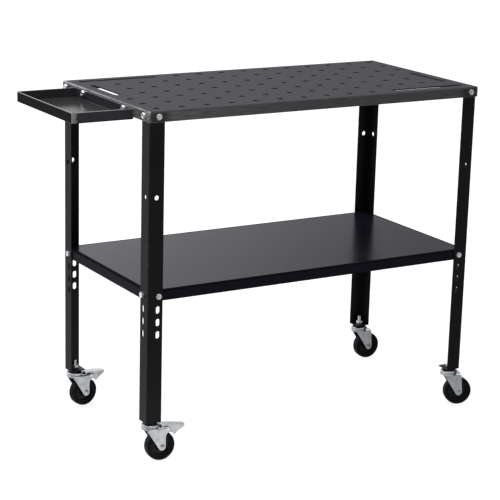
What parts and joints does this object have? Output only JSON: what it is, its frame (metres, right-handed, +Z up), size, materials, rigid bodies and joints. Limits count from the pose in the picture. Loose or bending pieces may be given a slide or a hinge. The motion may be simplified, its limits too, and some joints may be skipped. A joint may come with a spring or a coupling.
{
  "type": "welding table",
  "caption": "Rolling welding table with a perforated and slotted steel top, a lower shelf, a side tray and four angle legs on swivel casters.",
  "frame": {"origin": "on the floor, at the middle of the whole object's box", "axes": "+X along the table's length, away from the side tray; +Y from the front to the back; +Z up"},
  "size_m": [1.1056, 0.472, 0.835],
  "materials": {
    "top_steel": "satin charcoal coat, ground bare along the edges",
    "shelf_coat": "satin black powder coat",
    "tray_coat": "satin black powder coat",
    "leg_coat": "satin black powder coat",
    "zinc_stamping": "bright zinc plating on stamped sheet",
    "zinc_fastener": "bright zinc plating",
    "spring_steel": "plain spring steel",
    "ball_steel": "polished",
    "bush_steel": "turned",
    "black_plastic": "moulded",
    "wheel_plastic": "moulded",
    "tyre_rubber": "moulded hard rubber"
  },
  "bodies": {
    "frame": {"tabletop": "top_steel", "shelf": "shelf_coat", "side_tray": "tray_coat", "leg_front_left": "leg_coat", "leg_front_right": "leg_coat", "leg_back_left": "leg_coat", "leg_back_right": "leg_coat", "foot_plates": "leg_coat", "top_bolts": "zinc_fastener", "top_nuts": "zinc_fastener", "shelf_bolts": "zinc_fastener", "shelf_nuts": "zinc_fastener", "tray_bolts": "zinc_fastener", "tray_nuts": "zinc_fastener", "stem_nuts": "zinc_fastener", "stem_spacers": "black_plastic", "swivel_balls": "ball_steel", "stem_fl": "zinc_fastener", "stem_fr": "zinc_fastener", "stem_bl": "zinc_fastener", "stem_br": "zinc_fastener", "race_fl": "zinc_stamping", "race_fr": "zinc_stamping", "race_bl": "zinc_stamping", "race_br": "zinc_stamping"},
    "caster_fl": {"fork_fl": "zinc_stamping", "axle_fl": "zinc_fastener", "bush_fl": "bush_steel", "pedal_pin_fl": "zinc_fastener", "brake_spring_fl": "spring_steel"},
    "wheel_fl": {"wheel_core_fl": "wheel_plastic", "tyre_fl": "tyre_rubber"},
    "brake_fl": {"pedal_fl": "zinc_stamping"},
    "caster_fr": {"fork_fr": "zinc_stamping", "axle_fr": "zinc_fastener", "bush_fr": "bush_steel"},
    "wheel_fr": {"wheel_core_fr": "wheel_plastic", "tyre_fr": "tyre_rubber"},
    "caster_bl": {"fork_bl": "zinc_stamping", "axle_bl": "zinc_fastener", "bush_bl": "bush_steel", "pedal_pin_bl": "zinc_fastener", "brake_spring_bl": "spring_steel"},
    "wheel_bl": {"wheel_core_bl": "wheel_plastic", "tyre_bl": "tyre_rubber"},
    "brake_bl": {"pedal_bl": "zinc_stamping"},
    "caster_br": {"fork_br": "zinc_stamping", "axle_br": "zinc_fastener", "bush_br": "bush_steel"},
    "wheel_br": {"wheel_core_br": "wheel_plastic", "tyre_br": "tyre_rubber"}
  },
  "joints": [
    {"name": "swivel_fl", "type": "hinge", "parent": "frame", "child": "caster_fl", "pos_m": [-0.37842, -0.20513, 0.099], "axis": [0, 0, 1], "continuous": true},
    {"name": "wheel_spin_fl", "type": "hinge", "parent": "caster_fl", "child": "wheel_fl", "pos_m": [-0.35395, -0.20641, 0.036], "axis": [0.0523, 0.9986, 0], "continuous": true},
    {"name": "brake_pedal_fl", "type": "hinge", "parent": "caster_fl", "child": "brake_fl", "pos_m": [-0.33848, -0.20722, 0.079], "axis": [0.0523, 0.9986, 0], "range_deg": [0, 10]},
    {"name": "swivel_fr", "type": "hinge", "parent": "frame", "child": "caster_fr", "pos_m": [0.49198, -0.20513, 0.099], "axis": [0, 0, 1], "continuous": true},
    {"name": "wheel_spin_fr", "type": "hinge", "parent": "caster_fr", "child": "wheel_fr", "pos_m": [0.515, -0.21351, 0.036], "axis": [0.342, 0.9397, 0], "continuous": true},
    {"name": "swivel_bl", "type": "hinge", "parent": "frame", "child": "caster_bl", "pos_m": [-0.37842, 0.20807, 0.099], "axis": [0, 0, 1], "continuous": true},
    {"name": "wheel_spin_bl", "type": "hinge", "parent": "caster_bl", "child": "wheel_bl", "pos_m": [-0.35429, 0.21233, 0.036], "axis": [-0.1736, 0.9848, 0], "continuous": true},
    {"name": "brake_pedal_bl", "type": "hinge", "parent": "caster_bl", "child": "brake_bl", "pos_m": [-0.33903, 0.21502, 0.079], "axis": [-0.1736, 0.9848, 0], "range_deg": [0, 10]},
    {"name": "swivel_br", "type": "hinge", "parent": "frame", "child": "caster_br", "pos_m": [0.49198, 0.20807, 0.099], "axis": [0, 0, 1], "continuous": true},
    {"name": "wheel_spin_br", "type": "hinge", "parent": "caster_br", "child": "wheel_br", "pos_m": [0.51645, 0.20679, 0.036], "axis": [0.0523, 0.9986, 0], "continuous": true}
  ]
}
